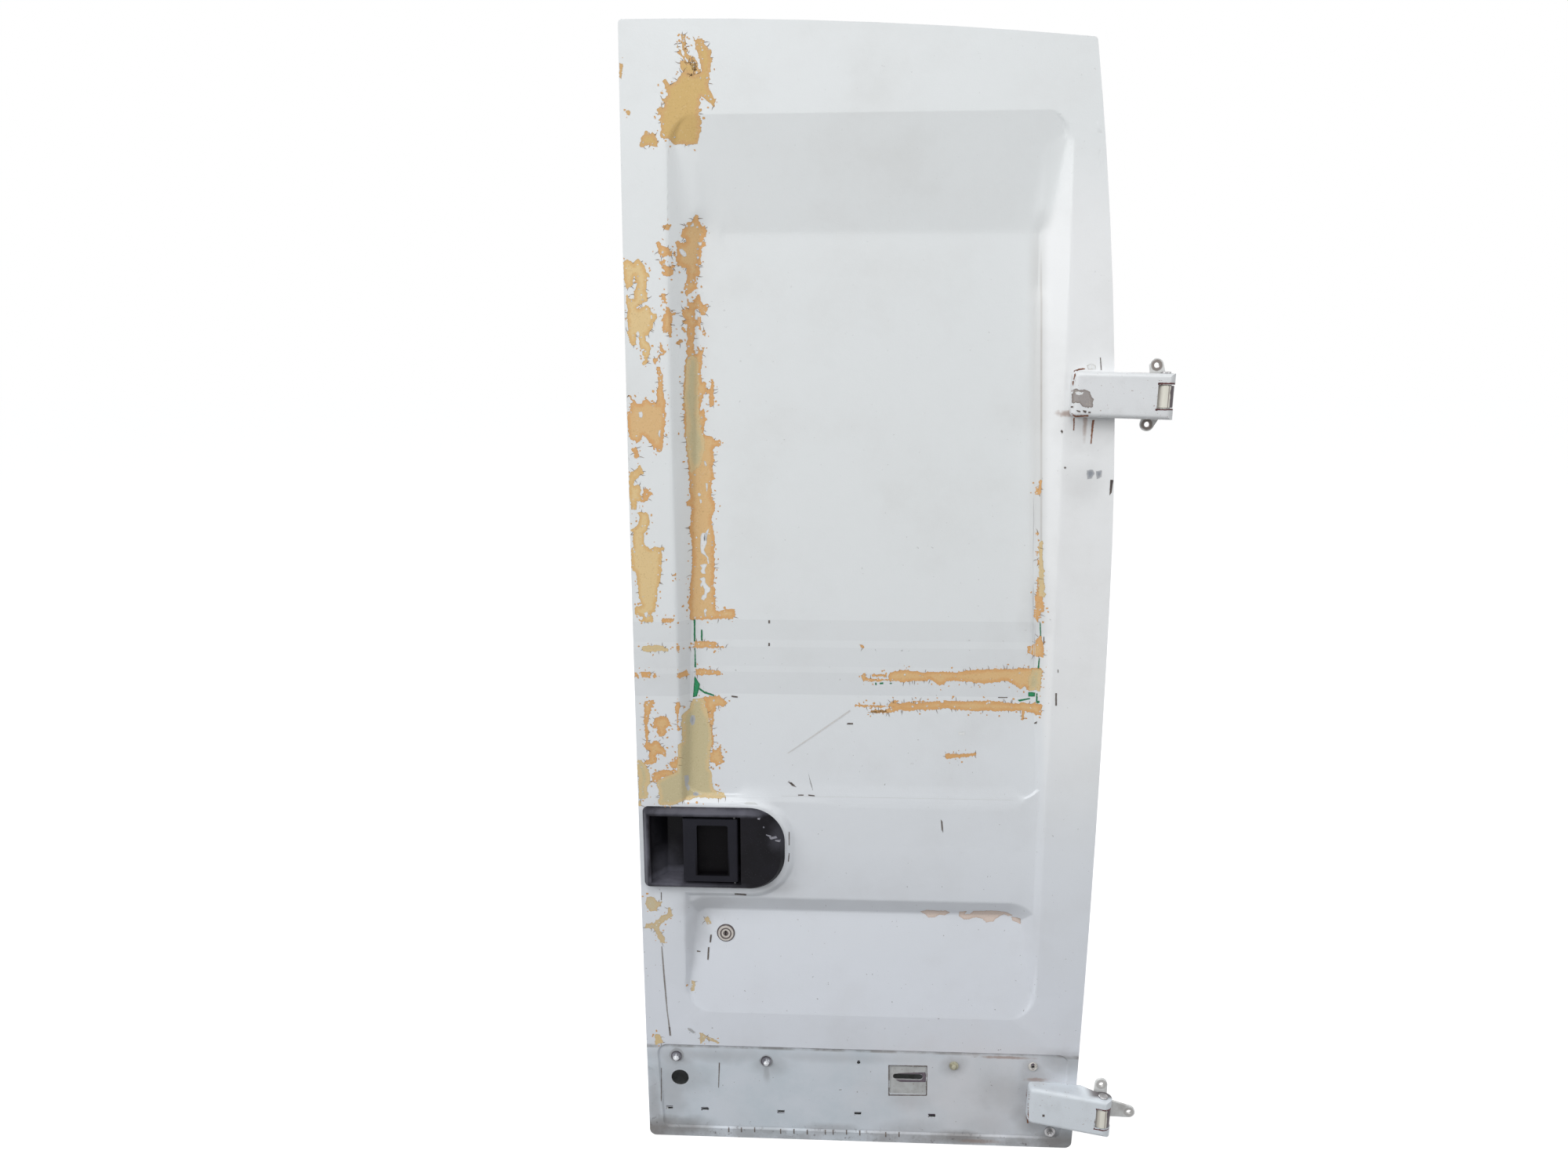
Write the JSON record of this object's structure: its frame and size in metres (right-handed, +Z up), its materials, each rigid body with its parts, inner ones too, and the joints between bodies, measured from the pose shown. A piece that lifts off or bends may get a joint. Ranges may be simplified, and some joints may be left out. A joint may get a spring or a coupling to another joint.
{
  "type": "campervan rear barn door",
  "caption": "Tall pressed-steel rear door leaf for a van or camper: tapered recessed centre field, pull handle, key lock, foot strip and folded hinge arms on pillar brackets.",
  "frame": {"origin": "on the flat back face of the lower pillar bracket, straight behind the middle of the lower hinge pin", "axes": "+X from the free edge to the hinge edge, +Y into the van, +Z up; the outer face looks towards -Y"},
  "size_m": [0.8675, 0.1031, 1.9],
  "materials": {
    "outer_paint": "chalky white paint, weathered",
    "inner_paint": "satin white paint",
    "bracket_paint": "dirty white paint",
    "worn_steel": "dull zinc with dirt",
    "lock_metal": "satin, weathered",
    "black_plastic": "grained, dusty",
    "clip_plastic": "yellowed",
    "pale_rubber": "pale, matt"
  },
  "bodies": {
    "pillar_brackets": {"upper_bracket": "bracket_paint", "lower_bracket": "bracket_paint"},
    "leaf": {"outer_skin": "outer_paint", "inner_panel": "inner_paint", "upper_stiffener": "inner_paint", "lower_stiffener": "inner_paint", "upper_hinge_arm": "outer_paint", "lower_hinge_arm": "outer_paint", "upper_hinge_pin": "worn_steel", "lower_hinge_pin": "worn_steel", "upper_hinge_plate": "inner_paint", "lower_hinge_plate": "inner_paint", "handle_housing": "black_plastic", "paddle_pin": "worn_steel", "lock_barrel": "lock_metal", "latch_case": "worn_steel", "latch_fork": "worn_steel", "slot_plate": "inner_paint", "foot_stud_left": "worn_steel", "foot_stud_inner": "worn_steel", "corner_bolt": "worn_steel", "foot_clip": "clip_plastic", "foot_grommet": "pale_rubber"},
    "paddle": {"handle_paddle": "black_plastic"},
    "key_plug": {"lock_plug": "lock_metal"}
  },
  "joints": [
    {"name": "door_swing", "type": "hinge", "parent": "pillar_brackets", "child": "leaf", "pos_m": [0, -0.026, 0], "axis": [0.0249, 0, 0.9997], "range_deg": [0, 180]},
    {"name": "handle_pull", "type": "hinge", "parent": "leaf", "child": "paddle", "pos_m": [-0.6405, -0.01367, 0.4784], "axis": [0, -0.0204, 0.9998], "range_deg": [0, 40], "stiffness_Nm_per_rad": 0.8, "springref_deg": -11.46},
    {"name": "lock_turn", "type": "hinge", "parent": "leaf", "child": "key_plug", "pos_m": [-0.661, 0.01811, 0.3066], "axis": [0, -0.9927, 0.1209], "range_deg": [0, 90]}
  ]
}
